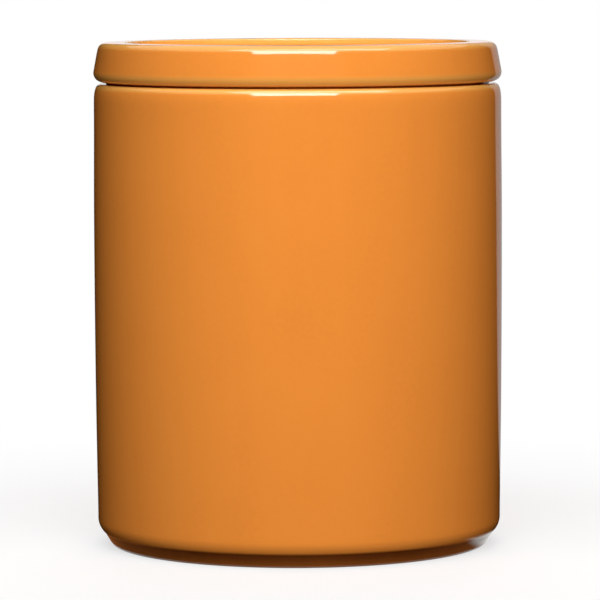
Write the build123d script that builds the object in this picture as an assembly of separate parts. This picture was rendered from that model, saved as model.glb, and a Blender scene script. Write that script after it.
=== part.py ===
from build123d import *

import os
from math import cos, radians, sin, tan

# A round glazed stoneware storage jar with a lift-off lid and a silicone seal ring.
# The jar stands on z = 0 with its axis on +Z. Each piece is turned: a profile of
# (radius, height) points is revolved about the axis. Lengths are millimetres, angles degrees.

# Jar wall and floor
body_radius = 60.0  # at the belly, the wall's widest ring
rim_height = 136.0  # the seat that carries the lid, above the table
belly_share = 0.7  # the belly's height, as a share of the rim's height
base_draw_in = 0.6  # how much narrower the wall is just above its base
lip_draw_in = 0.18  # how much narrower the wall is under the lip
wall_thickness = 5.5
base_bend = 0.1  # share of the lower wall over which the base's radius holds on
belly_bend = 0.7  # share of the lower wall over which the belly's radius holds on
upper_bend = 0.4  # share of the upper wall over which the radius at each end holds on
floor_thickness = 6.5
floor_round = 8.0  # inside, where the wall meets the floor

# Jar mouth: the seat that carries the lid, and the lip, the rounded outer edge round it
rim_inner_round = 0.8
seat_land = 0.7  # flat ring of the seat
seat_step = 0.5  # how far the lip stays below the seat, which leaves a thin gap under the lid
seat_step_round = 0.2
lip_reach = 2.1  # how far in from the wall the lip starts to round off
lip_drop = 5.5  # height over which the lip rounds off to the wall
lip_fullness = 0.7  # share of the lip's reach and drop over which its round holds back

# Jar base and foot
base_round = 5.2
base_round_turn = 50.0  # how far the lower edge curls under before it meets the foot
foot_height = 3.65
foot_taper = 31.5  # lean of the foot's wall, inwards towards the table
foot_ring_width = 6.0
foot_edge_round = 0.8
base_recess = 2.5  # hollow under the floor, inside the foot ring
base_recess_round = 1.2

# Lid
lid_height = 11.6  # from the rim to the lid's top
lid_inset = 0.1  # how far the lid's widest ring stays inside the jar's belly
lid_side_lean = 10.6
lid_lower_round = 2.7
lid_shoulder_lean = 17.0  # lean of the side's short top stretch
lid_shoulder_round = 11.0  # where the side eases into that stretch
lid_shoulder_run = 0.1  # what is left of that stretch between its two rounds
lid_upper_round = 2.4
lid_rim_width = 7.8
lid_rim_inner_round = 0.7
lid_recess_depth = 6.0
lid_recess_round = 3.0

# Plug, the ring under the lid that centres it in the jar's mouth
plug_clearance = 2.5  # between the plug and the mouth, bridged by the seal
plug_wall = 4.5
plug_edge_round = 1.0
plug_root_round = 0.8
plug_hollow_round = 2.0
plug_lip = 2.5  # part of the plug below the seal's groove
groove_drop = 2.5  # from the rim down to the seal's groove
groove_height = 6.0
groove_depth = 1.2

# Seal ring
seal_fit = 0.1  # gap round and above the seal's band in its groove
seal_stand_out = 0.6  # how far the band stands out of its groove
fin_count = 3
fin_root = 1.2
fin_tip = 0.7
fin_clearance = 0.3  # between the fins and the jar's mouth

# Places that more than one piece uses
mouth_radius = body_radius - wall_thickness
plug_radius = mouth_radius - plug_clearance
groove_radius = plug_radius - groove_depth
groove_top = rim_height - groove_drop
groove_bottom = groove_top - groove_height


def turned(*lines):
    """The solid that a closed outline of lines sweeps in one turn about the axis."""
    return revolve(Plane.XZ * make_face(lines), Axis.Z)


def jar_body():
    """The jar: a cup with a rounded lip, a curled-under base and a tapered foot ring."""
    base_radius = body_radius - base_draw_in
    base_top = foot_height + base_round * sin(radians(base_round_turn))
    base_centre = base_radius - base_round
    crease_radius = base_centre + base_round * cos(radians(base_round_turn))
    foot_radius = crease_radius - foot_height * tan(radians(foot_taper))
    foot_inner_radius = foot_radius - foot_ring_width
    seat_outer_radius = mouth_radius + rim_inner_round + seat_land + seat_step_round
    lip_top = rim_height - seat_step
    lip_bottom = lip_top - lip_drop
    lip_radius = body_radius - lip_draw_in
    lip_inner_radius = lip_radius - lip_reach
    belly_height = rim_height * belly_share
    lower_run = belly_height - base_top
    upper_run = lip_bottom - belly_height
    floor_top = base_recess + floor_thickness

    underside = FilletPolyline(
        (0, base_recess),
        (foot_inner_radius, base_recess),
        (foot_inner_radius, 0),
        (foot_radius, 0),
        (crease_radius, foot_height),
        radius=(base_recess_round, foot_edge_round, foot_edge_round),
    )
    base = CenterArc((base_centre, base_top), base_round, -base_round_turn, base_round_turn)
    lower_wall = Bezier(
        (base_radius, base_top),
        (base_radius, base_top + lower_run * base_bend),
        (body_radius, belly_height - lower_run * belly_bend),
        (body_radius, belly_height),
    )
    upper_wall = Bezier(
        (body_radius, belly_height),
        (body_radius, belly_height + upper_run * upper_bend),
        (lip_radius, lip_bottom - upper_run * upper_bend),
        (lip_radius, lip_bottom),
    )
    lip = Bezier(
        (lip_radius, lip_bottom),
        (lip_radius, lip_bottom + lip_drop * lip_fullness),
        (lip_inner_radius + lip_reach * lip_fullness, lip_top),
        (lip_inner_radius, lip_top),
    )
    inside = FilletPolyline(
        (lip_inner_radius, lip_top),
        (seat_outer_radius, lip_top),
        (seat_outer_radius, rim_height),
        (mouth_radius, rim_height),
        (mouth_radius, floor_top),
        (0, floor_top),
        radius=(seat_step_round, seat_step_round, rim_inner_round, floor_round),
    )
    axis = Line((0, floor_top), (0, base_recess))
    return turned(underside, base, lower_wall, upper_wall, lip, inside, axis)


def lid():
    """The lid: a disc with a leaning side, a recessed top and a grooved plug underneath."""
    lid_top = rim_height + lid_height
    widest_radius = body_radius - lid_inset
    # The leaning side runs on to the rim's height at this corner, which the lower round cuts off.
    corner_reach = lid_lower_round / tan(radians(90 - lid_side_lean) / 2)
    corner_radius = widest_radius - lid_lower_round + corner_reach
    upper_reach = lid_upper_round * tan(radians(90 - lid_shoulder_lean) / 2)
    shoulder_reach = lid_shoulder_round * tan(radians(lid_shoulder_lean - lid_side_lean) / 2)
    shoulder_side = shoulder_reach + lid_shoulder_run + upper_reach
    shoulder_height = lid_top - shoulder_side * cos(radians(lid_shoulder_lean))
    shoulder_radius = corner_radius - (shoulder_height - rim_height) * tan(radians(lid_side_lean))
    top_radius = shoulder_radius - shoulder_side * sin(radians(lid_shoulder_lean))
    recess_radius = top_radius - lid_rim_width
    recess_floor = lid_top - lid_recess_depth
    plug_inner_radius = plug_radius - plug_wall
    plug_bottom = groove_bottom - plug_lip

    outline = FilletPolyline(
        (0, rim_height),
        (plug_inner_radius, rim_height),
        (plug_inner_radius, plug_bottom),
        (plug_radius, plug_bottom),
        (plug_radius, groove_bottom),
        (groove_radius, groove_bottom),
        (groove_radius, groove_top),
        (plug_radius, groove_top),
        (plug_radius, rim_height),
        (corner_radius, rim_height),
        (shoulder_radius, shoulder_height),
        (top_radius, lid_top),
        (recess_radius, lid_top),
        (recess_radius, recess_floor),
        (0, recess_floor),
        radius=(
            plug_hollow_round,
            plug_edge_round,
            plug_edge_round,
            0,
            0,
            0,
            0,
            plug_root_round,
            lid_lower_round,
            lid_shoulder_round,
            lid_upper_round,
            lid_rim_inner_round,
            lid_recess_round,
        ),
    )
    axis = Line((0, recess_floor), (0, rim_height))
    return turned(outline, axis)


def seal_ring():
    """The seal: a band that sits in the plug's groove, with tapered fins round the outside."""
    band_inner_radius = groove_radius + seal_fit
    band_outer_radius = plug_radius + seal_stand_out
    fin_radius = mouth_radius - fin_clearance
    band_top = groove_top - seal_fit
    fin_pitch = (band_top - groove_bottom) / fin_count

    points = [(band_inner_radius, groove_bottom), (band_outer_radius, groove_bottom)]
    for fin in range(fin_count):
        middle = groove_bottom + (fin + 0.5) * fin_pitch
        points.append((band_outer_radius, middle - fin_root / 2))
        points.append((fin_radius, middle - fin_tip / 2))
        points.append((fin_radius, middle + fin_tip / 2))
        points.append((band_outer_radius, middle + fin_root / 2))
    points.append((band_outer_radius, band_top))
    points.append((band_inner_radius, band_top))
    return turned(Polyline(*points, close=True))


pieces = {"jar_body": jar_body(), "lid": lid(), "seal_ring": seal_ring()}

os.makedirs("parts", exist_ok=True)
for name, piece in pieces.items():
    piece.label = name
    export_step(piece, f"parts/{name}.step")
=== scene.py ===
import logging
import math
from dataclasses import dataclass, field
from enum import Enum
from typing import Any, Iterator, Mapping, Sequence, Union

import bpy
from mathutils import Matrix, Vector
from mathutils.kdtree import KDTree


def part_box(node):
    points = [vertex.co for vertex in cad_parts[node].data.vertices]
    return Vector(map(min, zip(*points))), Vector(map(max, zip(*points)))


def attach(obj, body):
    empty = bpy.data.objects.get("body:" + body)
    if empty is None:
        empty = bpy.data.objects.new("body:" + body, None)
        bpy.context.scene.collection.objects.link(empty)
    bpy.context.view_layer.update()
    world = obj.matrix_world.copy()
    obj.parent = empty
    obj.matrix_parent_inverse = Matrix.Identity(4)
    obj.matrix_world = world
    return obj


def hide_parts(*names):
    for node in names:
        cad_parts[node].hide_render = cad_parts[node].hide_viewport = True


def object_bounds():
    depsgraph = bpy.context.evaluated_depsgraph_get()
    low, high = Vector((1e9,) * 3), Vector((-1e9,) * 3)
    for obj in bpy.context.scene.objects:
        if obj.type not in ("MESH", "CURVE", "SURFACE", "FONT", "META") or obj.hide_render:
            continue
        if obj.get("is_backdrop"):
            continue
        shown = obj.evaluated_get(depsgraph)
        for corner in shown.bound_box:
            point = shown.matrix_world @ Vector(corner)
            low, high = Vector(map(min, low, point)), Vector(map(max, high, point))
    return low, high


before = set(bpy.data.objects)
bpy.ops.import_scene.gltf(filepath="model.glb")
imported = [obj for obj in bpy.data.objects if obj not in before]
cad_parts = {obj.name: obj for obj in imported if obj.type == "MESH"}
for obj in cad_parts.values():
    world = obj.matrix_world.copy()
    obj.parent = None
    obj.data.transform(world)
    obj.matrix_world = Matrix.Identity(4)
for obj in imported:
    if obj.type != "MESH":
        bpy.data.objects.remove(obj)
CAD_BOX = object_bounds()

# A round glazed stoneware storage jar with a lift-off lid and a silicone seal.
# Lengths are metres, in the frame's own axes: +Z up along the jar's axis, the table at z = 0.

MM = 0.001
LOG = logging.getLogger("storage_jar")

Colour = tuple[float, float, float, float]


class Body(Enum):
    """The frame's bodies that the pieces ride on."""

    JAR = "jar"
    LID = "lid"


class Slot(Enum):
    """The record's material slots."""

    GLAZE = "glaze"
    SILICONE = "silicone"


class Reach(Enum):
    """What a lamp does to the jar: it lights it, or it shows in its gloss."""

    LIGHT = "light"
    GLOSS = "gloss"


# Outlines and turning


@dataclass(frozen=True)
class Corner:
    """A corner of a turned piece's half section: radius from the axis, height, and rounding."""

    radius: float
    height: float
    rounding: float = 0.0

    @property
    def point(self) -> Vector:
        """The corner's place as (radius, height)."""
        return Vector((self.radius, self.height))


@dataclass
class Outline:
    """The half section of a turned piece, walked round it with its solid side on the left.

    Straight runs are cut into steps, and rounds into short chords, so that the turned mesh is
    even and smooth.
    """

    run_step: float = 5 * MM
    turn_step: float = math.radians(6)
    curve_steps: int = 28
    same: float = 0.001 * MM
    points: list[Vector] = field(default_factory=list)

    def go(self, point: Vector) -> None:
        """Adds one point, unless the outline already ends there.

        Args:
            point: The next place as (radius, height).
        """
        if not self.points or (point - self.points[-1]).length > self.same:
            self.points.append(point.copy())

    def run(self, end: Vector) -> None:
        """Adds a straight run in even steps.

        Args:
            end: Where the run ends.
        """
        start = self.points[-1].copy()
        steps = max(1, math.ceil((end - start).length / self.run_step))
        for step in range(1, steps + 1):
            self.go(start.lerp(end, step / steps))

    def arc(self, centre: Vector, radius: float, start: float, sweep: float) -> None:
        """Adds a round.

        Args:
            centre: The round's centre.
            radius: Its radius.
            start: The angle it starts at, in radians from straight outwards.
            sweep: How far it turns, in radians; positive turns from outwards to upwards.
        """
        steps = max(2, math.ceil(abs(sweep) / self.turn_step))
        for step in range(steps + 1):
            angle = start + sweep * step / steps
            self.go(centre + radius * Vector((math.cos(angle), math.sin(angle))))

    def through(self, *corners: Corner) -> None:
        """Adds straight runs through corners, each rounded as it says.

        Args:
            corners: The corners in order; the first and the last are plain ends.
        """
        self.go(corners[0].point)
        for before, corner, after in zip(corners, corners[1:], corners[2:]):
            if corner.rounding:
                self._round(before.point, corner, after.point)
            else:
                self.run(corner.point)
        self.run(corners[-1].point)

    def _round(self, before: Vector, corner: Corner, after: Vector) -> None:
        """Adds the run to a corner and the round that cuts the corner off.

        Args:
            before: The corner before it.
            corner: The corner.
            after: The corner after it.
        """
        arriving = (corner.point - before).normalized()
        leaving = (after - corner.point).normalized()
        turn = math.atan2(arriving.cross(leaving), arriving.dot(leaving))
        reach = corner.rounding * math.tan(abs(turn) / 2)
        side = math.copysign(1, turn)
        inwards = side * Vector((-arriving.y, arriving.x))
        first = corner.point - reach * arriving
        self.run(first)
        start = math.atan2(-inwards.y, -inwards.x)
        self.arc(first + corner.rounding * inwards, corner.rounding, start, turn)

    def bezier(self, a: Vector, b: Vector, c: Vector, d: Vector) -> None:
        """Adds a cubic curve.

        Args:
            a: Where it starts.
            b: The handle at its start.
            c: The handle at its end.
            d: Where it ends.
        """
        for step in range(self.curve_steps + 1):
            t = step / self.curve_steps
            s = 1 - t
            self.go(s**3 * a + 3 * s * s * t * b + 3 * s * t * t * c + t**3 * d)

    def bends(self, reach: float) -> Iterator[tuple[float, float]]:
        """How strongly the outline bends about each point, averaged over a short reach.

        Args:
            reach: How far the average goes along the outline, to either side.

        Yields:
            Radians per metre about each point: the outer edges' share, and the hollows'.
        """
        count = len(self.points)
        along = [0.0]
        turns = [0.0] * count
        for index in range(1, count):
            along.append(along[-1] + (self.points[index] - self.points[index - 1]).length)
        for index in range(1, count - 1):
            arriving = self.points[index] - self.points[index - 1]
            leaving = self.points[index + 1] - self.points[index]
            turns[index] = math.atan2(arriving.cross(leaving), arriving.dot(leaving))
        for here in along:
            near = [turn for turn, place in zip(turns, along) if abs(place - here) <= reach]
            edges = sum(turn for turn in near if turn > 0)
            hollows = -sum(turn for turn in near if turn < 0)
            yield edges / (2 * reach), hollows / (2 * reach)


@dataclass(frozen=True)
class Wheel:
    """The wheel that turns an outline into a piece.

    The attributes named here hold each vertex's bend, averaged over glaze_reach to either side.
    """

    steps: int = 216
    weld: float = 0.01 * MM
    crisp: float = math.radians(40)
    glaze_reach: float = 1.2 * MM
    edge_attribute: str = "edge_bend"
    hollow_attribute: str = "hollow_bend"

    def turn(self, name: str, outline: Outline) -> bpy.types.Object:
        """Turns an outline once round the jar's axis.

        Args:
            name: The piece's name.
            outline: Its half section.

        Returns:
            The piece, at the origin, with the bends of its section kept as point attributes.
        """
        bpy.ops.object.select_all(action="DESELECT")
        bpy.ops.mesh.primitive_plane_add(size=MM)
        piece = bpy.context.active_object
        piece.name = name
        piece.data.name = name
        bpy.ops.object.mode_set(mode="EDIT")
        bpy.ops.mesh.select_all(action="SELECT")
        bpy.ops.mesh.merge(type="CENTER")
        self._draw(outline)
        bpy.ops.mesh.select_all(action="SELECT")
        bpy.ops.mesh.spin(steps=self.steps, angle=math.tau, center=(0, 0, 0), axis=(0, 0, 1))
        bpy.ops.mesh.select_all(action="SELECT")
        bpy.ops.mesh.remove_doubles(threshold=self.weld)
        bpy.ops.mesh.normals_make_consistent(inside=False)
        bpy.ops.object.mode_set(mode="OBJECT")
        bpy.ops.object.shade_smooth_by_angle(angle=self.crisp)
        self._keep_bends(piece, outline)
        return piece

    def _draw(self, outline: Outline) -> None:
        """Draws the outline by extruding the one selected vertex from point to point.

        Args:
            outline: The half section.
        """
        here = Vector((0, 0))
        for index, point in enumerate(outline.points):
            step = (point.x - here.x, 0, point.y - here.y)
            if index == 0:
                bpy.ops.transform.translate(value=step)
            else:
                bpy.ops.mesh.extrude_vertices_move(TRANSFORM_OT_translate={"value": step})
            here = point

    def _keep_bends(self, piece: bpy.types.Object, outline: Outline) -> None:
        """Writes the section's bends at each vertex, which set where the glaze lies thin or pooled and
        where it paints highlight and shade.

        Args:
            piece: The turned piece.
            outline: Its half section.
        """
        tree = KDTree(len(outline.points))
        for index, point in enumerate(outline.points):
            tree.insert((point.x, point.y, 0), index)
        tree.balance()
        bends = list(outline.bends(self.glaze_reach))
        nearest = [tree.find((v.co.xy.length, v.co.z, 0))[1] for v in piece.data.vertices]
        for share, name in enumerate((self.edge_attribute, self.hollow_attribute)):
            values = piece.data.attributes.new(name, "FLOAT", "POINT")
            values.data.foreach_set("value", [bends[index][share] for index in nearest])


# Shader maths


@dataclass(frozen=True)
class Field:
    """A number that varies over a surface: a node's output, with Python's arithmetic."""

    bench: "Bench"
    socket: bpy.types.NodeSocket

    def __add__(self, other: "Number") -> "Field":
        """The sum."""
        return self.bench.maths("ADD", self, other)

    def __radd__(self, other: "Number") -> "Field":
        """The sum, with the number first."""
        return self.bench.maths("ADD", other, self)

    def __sub__(self, other: "Number") -> "Field":
        """The difference."""
        return self.bench.maths("SUBTRACT", self, other)

    def __rsub__(self, other: "Number") -> "Field":
        """The difference, with the number first."""
        return self.bench.maths("SUBTRACT", other, self)

    def __mul__(self, other: "Number") -> "Field":
        """The product."""
        return self.bench.maths("MULTIPLY", self, other)

    def __rmul__(self, other: "Number") -> "Field":
        """The product, with the number first."""
        return self.bench.maths("MULTIPLY", other, self)

    def at_least(self, other: "Number") -> "Field":
        """The larger of the two."""
        return self.bench.maths("MAXIMUM", self, other)

    def rise(self, low: float, high: float) -> "Field":
        """A soft step.

        Args:
            low: Where it leaves 0.
            high: Where it reaches 1.

        Returns:
            0 below low, 1 above high, and a smooth slope between them.
        """
        made = self.bench.node(
            "ShaderNodeMapRange",
            {"interpolation_type": "SMOOTHSTEP"},
            {"Value": self, "From Min": low, "From Max": high},
        )
        return Field(self.bench, made.outputs["Result"])


Number = Union[Field, float]
Tint = Union[bpy.types.NodeSocket, Colour]


class Bench:
    """A material's or a world's nodes, laid out one after the other."""

    noise_roughness: float = 0.5
    noise_middle: float = 0.5

    def __init__(self, owner: Union[bpy.types.Material, bpy.types.World]) -> None:
        """Clears the owner's nodes.

        Args:
            owner: The material or world to work on.
        """
        owner.use_nodes = True
        self.tree = owner.node_tree
        self.tree.nodes.clear()

    def node(
        self, kind: str, settings: Mapping[str, Any], inputs: Mapping[Union[str, int], Any]
    ) -> bpy.types.Node:
        """Adds a node.

        Args:
            kind: The node's type.
            settings: Its settings, set first; "stops" holds a ramp's (place, colour) pairs.
            inputs: Values or links for its sockets, by name or by number.

        Returns:
            The node.
        """
        made = self.tree.nodes.new(kind)
        for name, value in settings.items():
            if name == "stops":
                self._set_stops(made.color_ramp, value)
            else:
                setattr(made, name, value)
        for key, value in inputs.items():
            if isinstance(value, Field):
                self.tree.links.new(value.socket, made.inputs[key])
            elif isinstance(value, bpy.types.NodeSocket):
                self.tree.links.new(value, made.inputs[key])
            else:
                made.inputs[key].default_value = value
        return made

    @staticmethod
    def _set_stops(ramp: bpy.types.ColorRamp, stops: Sequence[tuple[float, Colour]]) -> None:
        """Gives a ramp its stops.

        Args:
            ramp: The ramp.
            stops: Its (place, colour) pairs, in rising order.
        """
        while len(ramp.elements) < len(stops):
            ramp.elements.new(1.0)
        for element, (place, colour) in zip(ramp.elements, stops):
            element.position = place
            element.color = colour

    def maths(self, operation: str, first: Number, second: Number) -> Field:
        """Adds a Math node.

        Args:
            operation: What it works out.
            first: Its first value.
            second: Its second value.

        Returns:
            The result.
        """
        made = self.node("ShaderNodeMath", {"operation": operation}, {0: first, 1: second})
        return Field(self, made.outputs[0])

    def place(self) -> bpy.types.NodeSocket:
        """The surface point in the piece's own coordinates."""
        return self.node("ShaderNodeTexCoord", {}, {}).outputs["Object"]

    def kept(self, attribute: str) -> Field:
        """A number that is kept at each vertex."""
        made = self.node("ShaderNodeAttribute", {"attribute_name": attribute}, {})
        return Field(self, made.outputs["Fac"])

    def split(self, point: bpy.types.NodeSocket) -> tuple[Field, Field, Field]:
        """The three coordinates of a point."""
        x, y, z = self.node("ShaderNodeSeparateXYZ", {}, {0: point}).outputs
        return Field(self, x), Field(self, y), Field(self, z)

    def noise(
        self,
        point: bpy.types.NodeSocket,
        grain: float,
        detail: float = 2.0,
        stretch: tuple[float, float, float] = (1.0, 1.0, 1.0),
    ) -> Field:
        """A smooth random pattern about zero.

        Args:
            point: Where it is read.
            grain: The size of its blotches, in metres.
            detail: How many finer layers it has.
            stretch: How many times longer the blotches are along each axis.

        Returns:
            Numbers from about -0.5 to 0.5.
        """
        scale = tuple(1 / (grain * share) for share in stretch)
        spread = self.node("ShaderNodeMapping", {}, {"Vector": point, "Scale": scale})
        made = self.node(
            "ShaderNodeTexNoise",
            {},
            {
                "Vector": spread.outputs[0],
                "Scale": 1.0,
                "Detail": detail,
                "Roughness": self.noise_roughness,
            },
        )
        return Field(self, made.outputs[0]) - self.noise_middle

    def ramp(self, factor: Field, stops: Sequence[tuple[float, Colour]]) -> bpy.types.NodeSocket:
        """A colour looked up on a ramp."""
        return self.node("ShaderNodeValToRGB", {"stops": stops}, {0: factor}).outputs[0]

    def blend(self, factor: Field, first: Tint, second: Tint) -> bpy.types.NodeSocket:
        """A colour between two."""
        made = self.node("ShaderNodeMix", {"data_type": "RGBA"}, {0: factor, 6: first, 7: second})
        return made.outputs[2]

    def surface(self, shader: bpy.types.NodeSocket, output: str = "ShaderNodeOutputMaterial") -> None:
        """Puts a shader on the surface, or on the world."""
        self.node(output, {}, {"Surface": shader})


# Finishes


@dataclass(frozen=True)
class ClayFinish:
    """Bare buff stoneware, where the glaze is wiped off before the firing."""

    colour: Colour = (0.56, 0.43, 0.31, 1)
    fleck: Colour = (0.26, 0.17, 0.11, 1)
    fleck_edge: tuple[float, float] = (0.12, 0.22)
    grain: float = 0.45 * MM
    roughness: float = 0.82

    def tint(self, bench: Bench, point: bpy.types.NodeSocket) -> bpy.types.NodeSocket:
        """The clay's colour, with its dark flecks."""
        flecks = bench.noise(point, self.grain, detail=3.0).rise(*self.fleck_edge)
        return bench.blend(flecks, self.colour, self.fleck)


@dataclass(frozen=True)
class GlazeFinish:
    """A glossy opaque glaze, lighter where it is thin and deeper where it pools, with painted highlight
    on its outer edges and painted shade in its hollows and above its foot.

    Its colour is looked up by how thin it lies: 0 is pooled glaze and painted shade, even is the
    plain colour, and 1 is thin glaze and painted highlight.
    The shares say how far each pattern moves that number, or the roughness.
    """

    colour: Colour = (0.84, 0.273, 0.041, 1)
    # The lighter colour is partly thin glaze and partly painted highlight; the darkest is partly pooled
    # glaze and partly painted shade.
    thin_highlight: Colour = (0.95, 0.50, 0.11, 1)
    pooled_shade: Colour = (0.165, 0.041, 0.0075, 1)
    clay: ClayFinish = ClayFinish()
    even: float = 0.5
    cloud: float = 30 * MM
    cloud_share: float = 0.05
    runs: float = 7 * MM
    run_stretch: float = 9.0
    run_share: float = 0.03
    mottle: float = 1.4 * MM
    mottle_share: float = 0.03
    ripple: float = 7 * MM
    ripple_strength: float = 0.25
    ripple_depth: float = 0.04 * MM
    roughness: float = 0.075
    cloud_roughness: float = 0.03
    mottle_roughness: float = 0.02
    ior: float = 1.5
    # Outer edges are drawn lighter: partly thinner glaze, partly painted highlight.
    edge_highlight: float = 0.42
    edge_bends: tuple[float, float] = (150.0, 550.0)
    # Hollows are drawn deeper: partly pooled glaze, partly painted shade.
    hollow_shade_deep: float = 0.8
    hollow_bends: tuple[float, float] = (300.0, 650.0)
    # Painted shade above the foot, drawn as pooled glaze, which lightens again towards the table.
    pool_shade_deep: float = 0.5
    shade_fade_share: float = 0.14
    wipe_grain: float = 6 * MM
    wipe_wander: float = 0.2 * MM
    wipe_edge: float = 0.08 * MM

    def dress(
        self, piece: bpy.types.Object, bare_below: float, shade_pool_from: float, shade_pool_to: float
    ) -> None:
        """Glazes a piece, apart from its lowest edge, with painted highlight on its edges and painted
        shade in its hollows and above its foot.

        Args:
            piece: The piece.
            bare_below: The height under which its clay is bare.
            shade_pool_from: The height where the painted shade above the foot starts, drawn as glaze
                that ran down and gathers.
            shade_pool_to: The lower height where that painted shade is deepest; below it lightens again
                to the table.
        """
        material = bpy.data.materials.new(f"{piece.name}_glaze")
        bench = Bench(material)
        point = bench.place()
        height = bench.split(point)[2]
        mottle = bench.noise(point, self.mottle, detail=1.0)
        cloud = bench.noise(point, self.cloud)
        runs = bench.noise(point, self.runs, detail=1.0, stretch=(1.0, 1.0, self.run_stretch))
        # Outer edges are drawn lighter, partly thin glaze and partly painted highlight; hollows deeper,
        # partly pooled glaze and partly painted shade.
        edge = self.edge_highlight * bench.kept(Wheel.edge_attribute).rise(*self.edge_bends)
        hollow = self.hollow_shade_deep * bench.kept(Wheel.hollow_attribute).rise(*self.hollow_bends)
        # Painted shade: the band above the foot is drawn darker, as glaze that pooled, and lighter
        # again towards the table.
        above = height.rise(shade_pool_to, shade_pool_from)
        pool_shade = self.pool_shade_deep * (1 - above)
        shade_fade = self.shade_fade_share * (1 - height.rise(0.0, shade_pool_to))
        formed = self.even + edge * above - hollow
        clouded = formed + cloud * self.cloud_share + runs * self.run_share + mottle * self.mottle_share
        thinness_and_light = clouded - pool_shade + shade_fade
        glaze = bench.ramp(thinness_and_light, ((0.0, self.pooled_shade), (self.even, self.colour), (1.0, self.thin_highlight)))
        wander = bench.noise(point, self.wipe_grain) * self.wipe_wander
        bare = 1 - (height + wander).rise(bare_below, bare_below + self.wipe_edge)
        colour = bench.blend(bare, glaze, self.clay.tint(bench, point))
        gloss = self.roughness + cloud * self.cloud_roughness + mottle * self.mottle_roughness
        roughness = gloss + bare * (self.clay.roughness - self.roughness)
        ripple = bench.noise(point, self.ripple, detail=1.0)
        grain = bench.noise(point, self.clay.grain, detail=2.0)
        swell = ripple * (1 - bare) + grain * bare
        bump = bench.node(
            "ShaderNodeBump",
            {},
            {"Strength": self.ripple_strength, "Distance": self.ripple_depth, "Height": swell},
        )
        shader = bench.node(
            "ShaderNodeBsdfPrincipled",
            {},
            {"Base Color": colour, "Roughness": roughness, "IOR": self.ior, "Normal": bump.outputs[0]},
        )
        bench.surface(shader.outputs[0])
        piece.data.materials.clear()
        piece.data.materials.append(material)


@dataclass(frozen=True)
class SiliconeFinish:
    """Satin moulded silicone, milky and a little see-through.

    Wide clouds and a fine bloom move its colour between the two, and its roughness.
    """

    colour: Colour = (0.84, 0.82, 0.78, 1)
    shade: Colour = (0.76, 0.74, 0.69, 1)
    even: float = 0.5
    cloud: float = 9 * MM
    cloud_share: float = 0.9
    bloom: float = 0.5 * MM
    bloom_share: float = 0.5
    bloom_strength: float = 0.2
    bloom_depth: float = 0.02 * MM
    roughness: float = 0.5
    cloud_roughness: float = 0.12
    bloom_roughness: float = 0.08
    ior: float = 1.41
    milky: float = 0.6
    glow: tuple[float, float, float] = (0.9, 0.85, 0.8)
    glow_reach: float = 1.0 * MM

    def dress(self, piece: bpy.types.Object) -> None:
        """Gives a piece the silicone.

        Args:
            piece: The piece.
        """
        material = bpy.data.materials.new(f"{piece.name}_silicone")
        bench = Bench(material)
        point = bench.place()
        cloud = bench.noise(point, self.cloud)
        bloom = bench.noise(point, self.bloom, detail=1.0)
        pale = self.even + cloud * self.cloud_share + bloom * self.bloom_share
        colour = bench.blend(pale.rise(0.0, 1.0), self.shade, self.colour)
        roughness = self.roughness + cloud * self.cloud_roughness + bloom * self.bloom_roughness
        bump = bench.node(
            "ShaderNodeBump",
            {},
            {"Strength": self.bloom_strength, "Distance": self.bloom_depth, "Height": bloom},
        )
        shader = bench.node(
            "ShaderNodeBsdfPrincipled",
            {},
            {
                "Base Color": colour,
                "Roughness": roughness,
                "IOR": self.ior,
                "Subsurface Weight": self.milky,
                "Subsurface Radius": self.glow,
                "Subsurface Scale": self.glow_reach,
                "Normal": bump.outputs[0],
            },
        )
        bench.surface(shader.outputs[0])
        piece.data.materials.clear()
        piece.data.materials.append(material)


# Sub-assemblies


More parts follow.
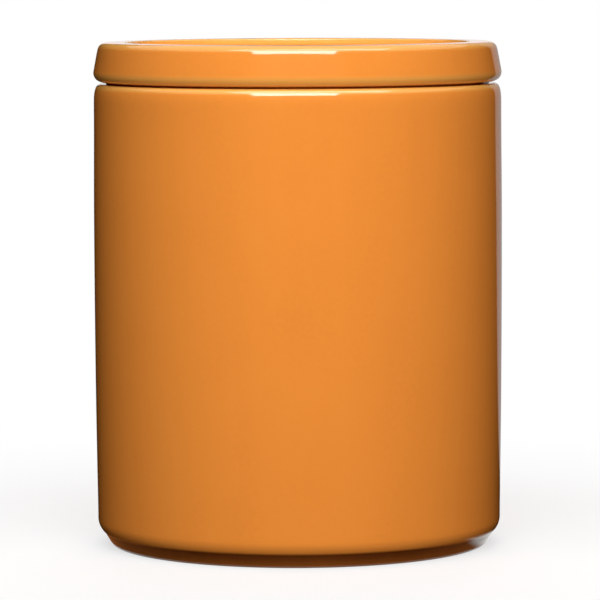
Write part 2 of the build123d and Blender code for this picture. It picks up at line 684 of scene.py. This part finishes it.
@dataclass
class JarBody:
    """The jar: a cup with a rounded lip, a curled-under base and a tapered foot ring."""

    radius: float
    rim: float
    glaze: GlazeFinish
    wall: float = 5.5 * MM
    belly_share: float = 0.7
    base_draw_in: float = 0.6 * MM
    lip_draw_in: float = 0.18 * MM
    base_bend: float = 0.1
    belly_bend: float = 0.7
    upper_bend: float = 0.4
    floor: float = 9.0 * MM
    floor_round: float = 8.0 * MM
    rim_inner_round: float = 0.8 * MM
    seat_land: float = 0.7 * MM
    seat_step: float = 0.5 * MM
    seat_step_round: float = 0.2 * MM
    lip_reach: float = 2.1 * MM
    lip_drop: float = 5.5 * MM
    lip_fullness: float = 0.7
    base_round: float = 5.2 * MM
    base_turn: float = math.radians(50)
    crease_fill: float = 0.6 * MM
    crease_turn: float = math.radians(3)
    foot_height: float = 3.65 * MM
    foot_taper: float = math.radians(31.5)
    foot_ring: float = 6.0 * MM
    foot_edge_round: float = 0.8 * MM
    recess: float = 2.5 * MM
    recess_round: float = 1.2 * MM
    bare_height: float = 0.1 * MM
    # Where the painted shade above the foot begins.
    shade_pool_height: float = 4.8 * MM

    @property
    def mouth(self) -> float:
        """The mouth's radius."""
        return self.radius - self.wall

    def outline(self) -> Outline:
        """Draws the jar's half section.

        Returns:
            The section, from under the floor, up the outside and down the inside.
        """
        base_radius = self.radius - self.base_draw_in
        base_top = self.foot_height + self.base_round * math.sin(self.base_turn)
        base_centre = Vector((base_radius - self.base_round, base_top))
        crease = base_centre.x + self.base_round * math.cos(self.base_turn)
        foot = crease - self.foot_height * math.tan(self.foot_taper)
        curl = self.crease_turn - self.base_turn
        curl_start = base_centre + self.base_round * Vector((math.cos(curl), math.sin(curl)))
        seat_outer = self.mouth + self.rim_inner_round + self.seat_land + self.seat_step_round
        lip_top = self.rim - self.seat_step
        lip_bottom = lip_top - self.lip_drop
        lip_radius = self.radius - self.lip_draw_in
        lip_inner = lip_radius - self.lip_reach
        belly = self.rim * self.belly_share
        lower_run = belly - base_centre.y
        upper_run = lip_bottom - belly
        line = Outline()
        line.through(
            Corner(0, self.recess),
            Corner(foot - self.foot_ring, self.recess, self.recess_round),
            Corner(foot - self.foot_ring, 0, self.foot_edge_round),
            Corner(foot, 0, self.foot_edge_round),
            Corner(crease, self.foot_height, self.crease_fill),
            Corner(curl_start.x, curl_start.y),
        )
        line.arc(base_centre, self.base_round, curl, -curl)
        line.bezier(
            Vector((base_radius, base_centre.y)),
            Vector((base_radius, base_centre.y + lower_run * self.base_bend)),
            Vector((self.radius, belly - lower_run * self.belly_bend)),
            Vector((self.radius, belly)),
        )
        line.bezier(
            Vector((self.radius, belly)),
            Vector((self.radius, belly + upper_run * self.upper_bend)),
            Vector((lip_radius, lip_bottom - upper_run * self.upper_bend)),
            Vector((lip_radius, lip_bottom)),
        )
        line.bezier(
            Vector((lip_radius, lip_bottom)),
            Vector((lip_radius, lip_bottom + self.lip_drop * self.lip_fullness)),
            Vector((lip_inner + self.lip_reach * self.lip_fullness, lip_top)),
            Vector((lip_inner, lip_top)),
        )
        line.through(
            Corner(lip_inner, lip_top),
            Corner(seat_outer, lip_top, self.seat_step_round),
            Corner(seat_outer, self.rim, self.seat_step_round),
            Corner(self.mouth, self.rim, self.rim_inner_round),
            Corner(self.mouth, self.floor, self.floor_round),
            Corner(0, self.floor),
        )
        return line

    def build(self, wheel: Wheel) -> bpy.types.Object:
        """Turns and glazes the jar.

        Args:
            wheel: The wheel it is turned on.

        Returns:
            The piece, riding on the jar's body.
        """
        piece = wheel.turn("glazed_jar", self.outline())
        self.glaze.dress(piece, self.bare_height, self.shade_pool_height, self.foot_height)
        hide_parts("jar_body")
        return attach(piece, Body.JAR.value)


@dataclass
class Lid:
    """The lid: a disc with a leaning side, a recessed top and a grooved plug underneath."""

    radius: float
    top: float
    rim: float
    mouth: float
    glaze: GlazeFinish
    side_lean: float = math.radians(10.6)
    lower_round: float = 2.7 * MM
    shoulder_lean: float = math.radians(17)
    shoulder_round: float = 11.0 * MM
    shoulder_run: float = 0.1 * MM
    upper_round: float = 2.4 * MM
    rim_width: float = 7.8 * MM
    rim_inner_round: float = 0.7 * MM
    recess: float = 6.0 * MM
    recess_round: float = 3.0 * MM
    plug_clearance: float = 2.5 * MM
    plug_wall: float = 4.5 * MM
    plug_edge_round: float = 1.0 * MM
    plug_root_round: float = 0.8 * MM
    plug_hollow_round: float = 2.0 * MM
    plug_lip: float = 2.5 * MM
    groove_drop: float = 2.5 * MM
    groove_height: float = 6.0 * MM
    groove_depth: float = 1.2 * MM
    groove_edge_round: float = 0.3 * MM
    bare_height: float = 0.7 * MM

    @property
    def plug(self) -> float:
        """The plug's radius."""
        return self.mouth - self.plug_clearance

    @property
    def groove(self) -> float:
        """The radius of the groove's floor."""
        return self.plug - self.groove_depth

    @property
    def groove_top(self) -> float:
        """The height of the groove's upper side."""
        return self.rim - self.groove_drop

    @property
    def groove_bottom(self) -> float:
        """The height of the groove's lower side."""
        return self.groove_top - self.groove_height

    @property
    def plug_bottom(self) -> float:
        """The height of the plug's lower edge."""
        return self.groove_bottom - self.plug_lip

    def outline(self) -> Outline:
        """Draws the lid's half section.

        Returns:
            The section, from inside the plug, round the side and over the top.
        """
        reach = self.lower_round / math.tan((math.pi / 2 - self.side_lean) / 2)
        corner = self.radius - self.lower_round + reach
        upper_reach = self.upper_round * math.tan((math.pi / 2 - self.shoulder_lean) / 2)
        shoulder_reach = self.shoulder_round * math.tan((self.shoulder_lean - self.side_lean) / 2)
        shoulder_side = shoulder_reach + self.shoulder_run + upper_reach
        shoulder_height = self.top - shoulder_side * math.cos(self.shoulder_lean)
        shoulder = corner - (shoulder_height - self.rim) * math.tan(self.side_lean)
        top_radius = shoulder - shoulder_side * math.sin(self.shoulder_lean)
        recess_radius = top_radius - self.rim_width
        recess_floor = self.top - self.recess
        plug_inner = self.plug - self.plug_wall
        line = Outline()
        line.through(
            Corner(0, self.rim),
            Corner(plug_inner, self.rim, self.plug_hollow_round),
            Corner(plug_inner, self.plug_bottom, self.plug_edge_round),
            Corner(self.plug, self.plug_bottom, self.plug_edge_round),
            Corner(self.plug, self.groove_bottom, self.groove_edge_round),
            Corner(self.groove, self.groove_bottom, self.groove_edge_round),
            Corner(self.groove, self.groove_top, self.groove_edge_round),
            Corner(self.plug, self.groove_top, self.groove_edge_round),
            Corner(self.plug, self.rim, self.plug_root_round),
            Corner(corner, self.rim, self.lower_round),
            Corner(shoulder, shoulder_height, self.shoulder_round),
            Corner(top_radius, self.top, self.upper_round),
            Corner(recess_radius, self.top, self.rim_inner_round),
            Corner(recess_radius, recess_floor, self.recess_round),
            Corner(0, recess_floor),
        )
        return line

    def build(self, wheel: Wheel) -> bpy.types.Object:
        """Turns and glazes the lid.

        Args:
            wheel: The wheel it is turned on.

        Returns:
            The piece, riding on the lid's body.
        """
        piece = wheel.turn("glazed_lid", self.outline())
        bare = self.plug_bottom + self.bare_height
        self.glaze.dress(piece, bare, bare, self.plug_bottom)
        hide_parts("lid")
        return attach(piece, Body.LID.value)


@dataclass
class SealRing:
    """The seal: a band in the plug's groove, with tapered fins that press against the mouth."""

    groove: float
    outer: float
    bottom: float
    top: float
    silicone: SiliconeFinish
    fit: float = 0.1 * MM
    band: float = 1.7 * MM
    fin_count: int = 3
    fin_root: float = 1.2 * MM
    fin_tip: float = 0.7 * MM
    root_round: float = 0.2 * MM
    tip_round: float = 0.3 * MM
    band_round: float = 0.25 * MM
    run_step: float = 1.0 * MM
    turn_step: float = math.radians(15)

    @property
    def inner(self) -> float:
        """The band's inner radius."""
        return self.groove + self.fit

    def outline(self) -> Outline:
        """Draws the seal's section.

        Returns:
            The section, a closed loop that starts half way up its inner side.
        """
        face = self.inner + self.band
        pitch = (self.top - self.bottom) / self.fin_count
        middle = Corner(self.inner, (self.bottom + self.top) / 2)
        line = Outline(run_step=self.run_step, turn_step=self.turn_step)
        line.through(
            middle,
            Corner(self.inner, self.bottom, self.band_round),
            Corner(face, self.bottom, self.band_round / 2),
            *self._fins(face, pitch),
            Corner(face, self.top, self.band_round / 2),
            Corner(self.inner, self.top, self.band_round),
            middle,
        )
        return line

    def _fins(self, face: float, pitch: float) -> Iterator[Corner]:
        """Draws the fins.

        Args:
            face: The radius of the band's face, which they stand on.
            pitch: The distance from one fin to the next.

        Yields:
            Their corners, from the lowest up.
        """
        for fin in range(self.fin_count):
            middle = self.bottom + (fin + 0.5) * pitch
            yield Corner(face, middle - self.fin_root / 2, self.root_round)
            yield Corner(self.outer, middle - self.fin_tip / 2, self.tip_round)
            yield Corner(self.outer, middle + self.fin_tip / 2, self.tip_round)
            yield Corner(face, middle + self.fin_root / 2, self.root_round)

    def build(self, wheel: Wheel) -> bpy.types.Object:
        """Turns the seal and gives it its silicone.

        Args:
            wheel: The wheel it is turned on.

        Returns:
            The piece, riding on the lid's body.
        """
        piece = wheel.turn("silicone_seal", self.outline())
        self.silicone.dress(piece)
        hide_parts("seal_ring")
        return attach(piece, Body.LID.value)


# Studio


@dataclass(frozen=True)
class Softbox:
    """A soft rectangular lamp, aimed at the jar."""

    name: str
    place: tuple[float, float, float]
    width: float
    height: float
    watts: float
    reach: Reach
    tint: tuple[float, float, float] = (1.0, 1.0, 1.0)
    aim: tuple[float, float, float] = (0.0, 0.0, 0.09)

    def build(self) -> bpy.types.Object:
        """Hangs the lamp, out of the camera's sight.

        Returns:
            The lamp.
        """
        bpy.ops.object.select_all(action="DESELECT")
        bpy.ops.object.light_add(type="AREA", location=self.place)
        lamp = bpy.context.active_object
        lamp.name = self.name
        lamp.data.shape = "RECTANGLE"
        lamp.data.size = self.width
        lamp.data.size_y = self.height
        lamp.data.energy = self.watts
        lamp.data.color = self.tint
        towards = Vector(self.aim) - Vector(self.place)
        lamp.rotation_euler = towards.to_track_quat("-Z", "Y").to_euler()
        lamp.visible_camera = False
        lamp.visible_diffuse = self.reach is Reach.LIGHT
        lamp.visible_glossy = self.reach is Reach.GLOSS
        return lamp


@dataclass
class Studio:
    """The pale floor, the flags that glow in the jar's gloss to paint its reflections, the lamps and
    the camera.

    The flags' glows are (bearing, brightness) pairs, with the bearing in degrees from straight
    behind the jar, which is flag_middle on their ramp: painted reflections, pale behind it and dark
    elsewhere. Close to the foot the flags paint the floor that it mirrors: an orange-brown painted
    reflection on both sides, and a painted glint at its right end.
    """

    round_sides: int = 96
    floor_radius: float = 8.0
    floor_gap: float = 0.1 * MM
    shadow_near: float = 0.05
    shadow_far: float = 0.30
    shadow_lift: float = 0.65
    floor_seen: Colour = (0.92, 0.92, 0.92, 1)
    floor_bounce: Colour = (0.10, 0.085, 0.07, 1)
    ambient: Colour = (0.025, 0.021, 0.018, 1)
    white: Colour = (1, 1, 1, 1)
    flag_radius: float = 4.0
    flag_height: float = 2.5
    flag_hole: float = 0.0558
    flag_lift: float = 0.3 * MM
    # Painted reflection: close to the foot on both sides the flags glow orange-brown, which the foot
    # mirrors.
    foot_reflection_near: tuple[float, float] = (0.0575, 0.0600)
    foot_reflection_beside: tuple[float, float] = (0.030, 0.048)
    foot_reflection_glow: Colour = (0.28, 0.085, 0.02, 1)
    # Painted glint: by the foot's right end the flags glow pale.
    glint_beside: tuple[float, float] = (0.051, 0.055)
    glint_far: tuple[float, float] = (0.0575, 0.062)
    foot_glint_glow: Colour = (0.9, 0.88, 0.85, 1)
    flag_middle: float = 0.5
    # Painted reflections: pale glows behind the jar, dark elsewhere; only the gloss sees them.
    flag_glows: tuple[tuple[float, float], ...] = (
        (-8.5, 0.0),
        (-8.0, 0.9),
        (-2.5, 0.9),
        (-0.7, 0.3),
        (0.7, 0.3),
        (2.5, 0.9),
        (7.0, 0.9),
        (7.5, 0.4),
        (31.0, 0.4),
        (31.5, 0.0),
    )
    camera_place: tuple[float, float, float] = (0.00088, -1.18866, 0.1715)
    camera_dip: float = math.radians(4.809)
    camera_roll: float = math.radians(0.209)
    camera_lens: float = 242.6
    camera_sensor: float = 36.0
    lamps: tuple[Softbox, ...] = (
        Softbox("key_strip", (-0.03, -0.98, 0.84), 0.95, 0.38, 17.0, Reach.GLOSS),
        Softbox("front_softbox", (0.03, -0.95, 0.52), 0.9, 0.5, 9.2, Reach.LIGHT),
        Softbox("top_strip", (0.12, -0.64, 1.33), 1.9, 0.64, 22.5, Reach.GLOSS),
        Softbox("top_softbox", (-0.09, -0.6, 1.25), 1.8, 0.6, 10.4, Reach.LIGHT),
        Softbox("right_fill", (1.0, -1.0, 0.4), 0.7, 0.7, 1.5, Reach.LIGHT, (1.0, 0.75, 0.5)),
        Softbox("bounce_card", (0.0, -0.42, 0.004), 0.8, 0.4, 0.32, Reach.LIGHT, aim=(0.0, -0.42, 1.0)),
        Softbox("back_softbox", (0.05, 1.35, 0.5), 0.9, 0.6, 16.0, Reach.LIGHT),
    )

    def _seen(self, bench: Bench) -> Field:
        """Tells the rays that show the background from those that carry light.

        Args:
            bench: The nodes it is added to.

        Returns:
            1 for rays that come straight, mirrored or through glass, and 0 for others.
        """
        path = bench.node("ShaderNodeLightPath", {}, {})
        straight = Field(bench, path.outputs["Is Camera Ray"])
        mirrored = Field(bench, path.outputs["Is Glossy Ray"])
        through = Field(bench, path.outputs["Is Transmission Ray"])
        return straight.at_least(mirrored).at_least(through)

    def build_floor(self) -> bpy.types.Object:
        """Lays the floor, which fades to white away from the jar and its shadow.

        Returns:
            The floor.
        """
        bpy.ops.object.select_all(action="DESELECT")
        bpy.ops.mesh.primitive_circle_add(
            vertices=self.round_sides,
            radius=self.floor_radius,
            fill_type="NGON",
            location=(0, 0, -self.floor_gap),
        )
        floor = bpy.context.active_object
        floor.name = "floor"
        material = bpy.data.materials.new("floor_paper")
        bench = Bench(material)
        point = bench.place()
        distance = bench.node("ShaderNodeVectorMath", {"operation": "LENGTH"}, {0: point})
        seen = self._seen(bench)
        clear = Field(bench, distance.outputs["Value"]).rise(self.shadow_near, self.shadow_far)
        share = self.shadow_lift + clear * (1 - self.shadow_lift)
        paper = bench.blend(seen, self.floor_bounce, self.floor_seen)
        lit = bench.node("ShaderNodeBsdfDiffuse", {}, {"Color": paper})
        glow = bench.node("ShaderNodeEmission", {}, {"Color": self.white, "Strength": 1.0})
        mixed = bench.node(
            "ShaderNodeMixShader", {}, {0: seen * share, 1: lit.outputs[0], 2: glow.outputs[0]}
        )
        bench.surface(mixed.outputs[0])
        floor.data.materials.append(material)
        floor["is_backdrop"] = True
        return floor

    def build_flags(self) -> bpy.types.Object:
        """Lays flags round the jar that only its gloss sees, and that glow to paint its reflections.

        They paint a pale gap behind it, and by its foot they paint the floor that it mirrors: an
        orange-brown painted reflection, and a painted glint at its right end.

        Returns:
            The flags.
        """
        bpy.ops.object.select_all(action="DESELECT")
        bpy.ops.mesh.primitive_circle_add(
            vertices=self.round_sides,
            radius=self.flag_hole,
            fill_type="NOTHING",
            location=(0, 0, self.flag_lift),
        )
        flags = bpy.context.active_object
        flags.name = "reflection_flags"
        bpy.ops.object.mode_set(mode="EDIT")
        bpy.ops.mesh.select_all(action="SELECT")
        bpy.ops.mesh.extrude_edges_move()
        spread = self.flag_radius / self.flag_hole
        bpy.ops.transform.resize(value=(spread, spread, 1))
        bpy.ops.mesh.extrude_edges_move(TRANSFORM_OT_translate={"value": (0, 0, self.flag_height)})
        bpy.ops.object.mode_set(mode="OBJECT")
        material = bpy.data.materials.new("painted_reflection_glow")
        bench = Bench(material)
        point = bench.place()
        across, behind, _ = bench.split(point)
        bearing = bench.maths("ARCTAN2", across, behind)
        length = bench.node("ShaderNodeVectorMath", {"operation": "LENGTH"}, {0: point})
        distance = Field(bench, length.outputs["Value"])
        near = 1 - distance.rise(*self.foot_reflection_near)
        beside = bench.maths("ABSOLUTE", across, 0.0).rise(*self.foot_reflection_beside)
        stops = [
            (self.flag_middle + angle / 360, (shine, shine, shine, 1))
            for angle, shine in self.flag_glows
        ]
        # The flags' glow by bearing: painted reflections.
        shade = bench.ramp(self.flag_middle + bearing * (1 / math.tau), stops)
        # Painted reflection: the floor by the foot, as the foot mirrors it, glows orange-brown.
        foot_reflection = bench.blend(near * beside, shade, self.foot_reflection_glow)
        # Painted glint: a pale glow by the foot's right end, which the foot mirrors.
        lit = across.rise(*self.glint_beside) * (1 - distance.rise(*self.glint_far))
        shown = bench.blend(lit, foot_reflection, self.foot_glint_glow)
        glow = bench.node("ShaderNodeEmission", {}, {"Color": shown, "Strength": 1.0})
        bench.surface(glow.outputs[0])
        flags.data.materials.append(material)
        flags.visible_camera = False
        flags.visible_diffuse = False
        flags.visible_transmission = False
        flags.visible_shadow = False
        flags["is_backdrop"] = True
        return flags

    def build_world(self) -> None:
        """Makes the world white to look at and dim as a light."""
        world = bpy.data.worlds.new("studio_world")
        bpy.context.scene.world = world
        bench = Bench(world)
        dim = bench.node("ShaderNodeBackground", {}, {"Color": self.ambient, "Strength": 1.0})
        plain = bench.node("ShaderNodeBackground", {}, {"Color": self.white, "Strength": 1.0})
        mixed = bench.node(
            "ShaderNodeMixShader", {}, {0: self._seen(bench), 1: dim.outputs[0], 2: plain.outputs[0]}
        )
        bench.surface(mixed.outputs[0], "ShaderNodeOutputWorld")

    def build_camera(self) -> bpy.types.Object:
        """Sets the camera up at the photograph's viewing angle.

        Returns:
            The camera.
        """
        bpy.ops.object.select_all(action="DESELECT")
        bpy.ops.object.camera_add(
            location=self.camera_place,
            rotation=(math.pi / 2 - self.camera_dip, self.camera_roll, 0),
        )
        camera = bpy.context.active_object
        camera.name = "camera"
        camera.data.lens = self.camera_lens
        camera.data.sensor_width = self.camera_sensor
        bpy.context.scene.camera = camera
        bpy.context.scene.view_settings.view_transform = "Standard"
        return camera

    def build(self) -> None:
        """Sets the whole studio up."""
        self.build_camera()
        self.build_floor()
        self.build_flags()
        self.build_world()
        for lamp in self.lamps:
            lamp.build()


def main() -> None:
    """Builds the jar, the lid and the seal, then the studio round them."""
    logging.basicConfig(level=logging.INFO, format="%(name)s: %(message)s")
    wheel = Wheel()
    glaze = GlazeFinish()
    _, jar_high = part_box("jar_body")
    _, lid_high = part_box("lid")
    seal_low, seal_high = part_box("seal_ring")
    jar = JarBody(radius=jar_high.x, rim=jar_high.z, glaze=glaze)
    lid = Lid(radius=lid_high.x, top=lid_high.z, rim=jar.rim, mouth=jar.mouth, glaze=glaze)
    seal = SealRing(
        groove=lid.groove,
        outer=seal_high.x,
        bottom=seal_low.z,
        top=seal_high.z,
        silicone=SiliconeFinish(),
    )
    for part in (jar, lid, seal):
        piece = part.build(wheel)
        LOG.info("%s: %d faces", piece.name, len(piece.data.polygons))
    Studio().build()


if __name__ == "__main__":
    main()
    boxes = {"cad": CAD_BOX, "visual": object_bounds()}
    {name: [list(corner) for corner in box] for name, box in boxes.items()}
